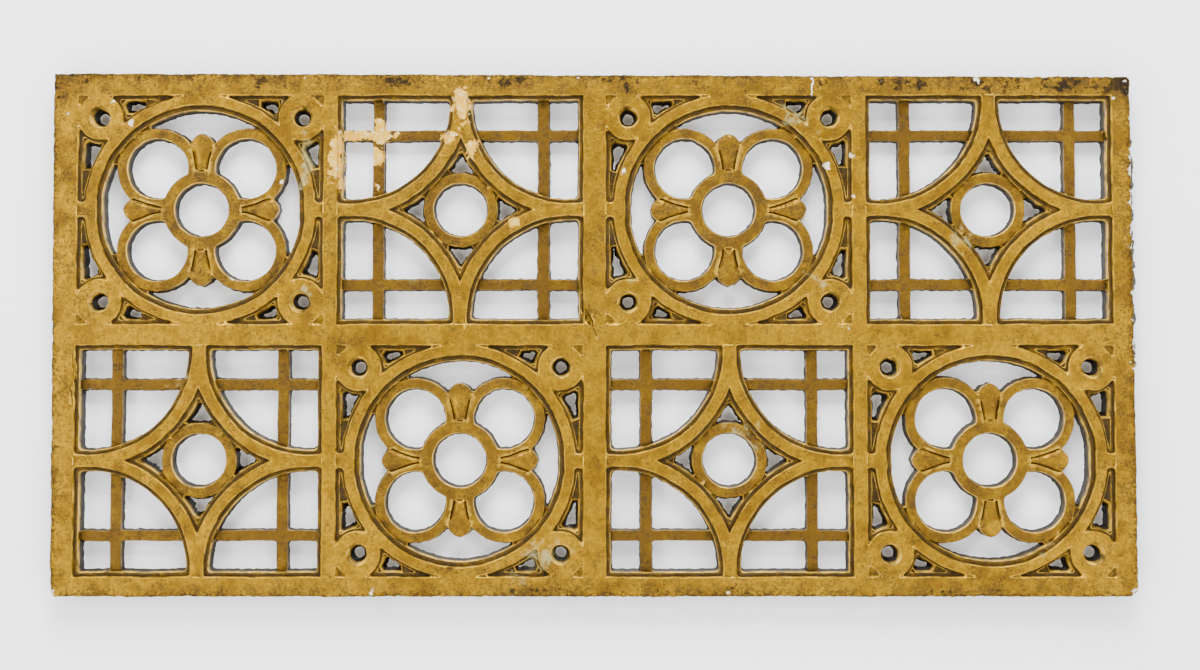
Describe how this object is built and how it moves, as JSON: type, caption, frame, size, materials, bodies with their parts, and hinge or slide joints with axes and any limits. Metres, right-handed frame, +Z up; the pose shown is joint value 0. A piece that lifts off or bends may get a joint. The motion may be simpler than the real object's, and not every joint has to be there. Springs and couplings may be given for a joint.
{
  "type": "plaster ventilation grille",
  "caption": "Long rectangular openwork grille of cast plaster: panels of ringed four-lobed roundels alternate with four-pointed stars over lattice, in a flat moulded frame, gilded and worn.",
  "frame": {"origin": "on the flat back, behind the crossing of the middle mullion and the middle rail", "axes": "+X along the grille, +Z up, +Y out of the back into the wall; the carved face looks along -Y"},
  "size_m": [1.2251, 0.03, 0.5889],
  "materials": {
    "gilded_plaster": "worn bronze-gold paint on cast plaster, satin, darker in the recesses"
  },
  "bodies": {
    "root": {"grille_casting": "gilded_plaster"}
  },
  "joints": []
}
